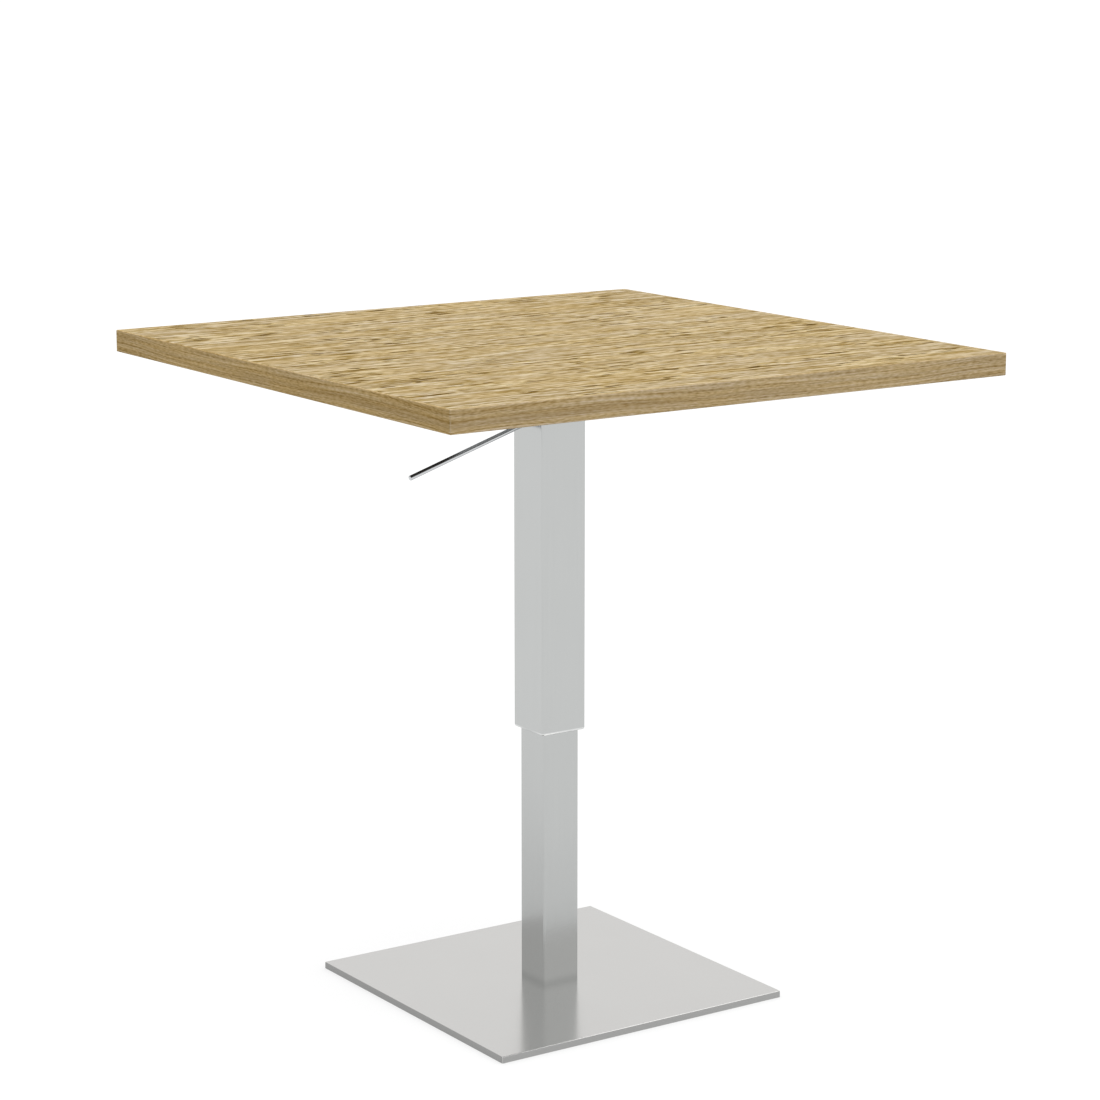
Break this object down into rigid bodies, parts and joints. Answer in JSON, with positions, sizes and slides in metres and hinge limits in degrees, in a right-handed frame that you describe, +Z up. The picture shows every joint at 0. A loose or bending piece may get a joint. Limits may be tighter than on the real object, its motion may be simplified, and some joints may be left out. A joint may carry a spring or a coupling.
{
  "type": "telescoping pedestal table",
  "caption": "Square wooden table top on a telescoping square steel column with a gas-spring lift, a release lever under the top and a flat square base plate.",
  "frame": {"origin": "on the floor, under the middle of the base plate and of the top", "axes": "+Z up, +X away from the release lever, -Y towards the front edge, with the top's grain along X"},
  "size_m": [0.75, 0.75, 0.7884],
  "materials": {
    "oak_face": "oak veneer, brushed and matt lacquered",
    "oak_edge": "oak edge band, matt lacquered",
    "board_core": "pressed wood core",
    "backing": "dark balancing sheet, matt",
    "column_steel": "fine vertical brushing",
    "base_steel": "fine brushing",
    "plate_paint": "grey powder coat",
    "plain_steel": "bare machined steel",
    "zinc_fastener": "bright zinc",
    "chrome_rod": "polished chrome",
    "turned_aluminium": "turned",
    "cast_head": "die cast, satin",
    "black_paint": "black lacquer",
    "guide_plastic": "moulded, slightly waxy",
    "black_rubber": "matt"
  },
  "bodies": {
    "base": {"base_plate": "base_steel", "floor_pads": "black_rubber", "base_screws": "zinc_fastener", "column_foot": "plain_steel", "inner_tube": "column_steel", "upper_guide": "guide_plastic", "guide_screws": "zinc_fastener", "gas_cylinder": "black_paint", "rod_guide": "turned_aluminium", "rod_seal": "black_rubber"},
    "separator": {"separator_piston": "turned_aluminium", "separator_seal": "black_rubber"},
    "lift": {"outer_tube": "column_steel", "lower_guide": "guide_plastic", "tube_bulkhead": "plain_steel", "rod_nut": "zinc_fastener", "release_head": "cast_head", "pivot_pin": "zinc_fastener", "pivot_clip": "zinc_fastener", "gas_rod": "chrome_rod", "gas_piston": "turned_aluminium", "piston_seal": "black_rubber", "mount_plate": "plate_paint", "plate_screws": "zinc_fastener", "backing_sheet": "backing", "top_core": "board_core", "top_veneer": "oak_face", "edge_band_front": "oak_edge", "edge_band_back": "oak_edge", "edge_band_left": "oak_edge", "edge_band_right": "oak_edge"},
    "lever": {"rocker": "cast_head", "lever_rod": "chrome_rod"},
    "pin": {"release_pin": "plain_steel"}
  },
  "joints": [
    {"name": "column_lift", "type": "slide", "parent": "base", "child": "lift", "axis": [0, 0, 1], "range_m": [-0.24, 0]},
    {"name": "separator_slide", "type": "slide", "parent": "base", "child": "separator", "axis": [0, 0, 1], "range_m": [-0.039, 0]},
    {"name": "lever_pivot", "type": "hinge", "parent": "lift", "child": "lever", "pos_m": [-0.014, 0, 0.7002], "axis": [0, 1, 0], "range_deg": [0, 9], "stiffness_Nm_per_rad": 1.5, "springref_deg": -8.59},
    {"name": "pin_press", "type": "slide", "parent": "lift", "child": "pin", "axis": [0, 0, -1], "range_m": [0, 0.0023]}
  ],
  "couplings": [
    {"joint": "separator_slide", "follows": "column_lift", "ratio": 0.16},
    {"joint": "pin_press", "follows": "lever_pivot", "m_per_rad": 0.014}
  ]
}
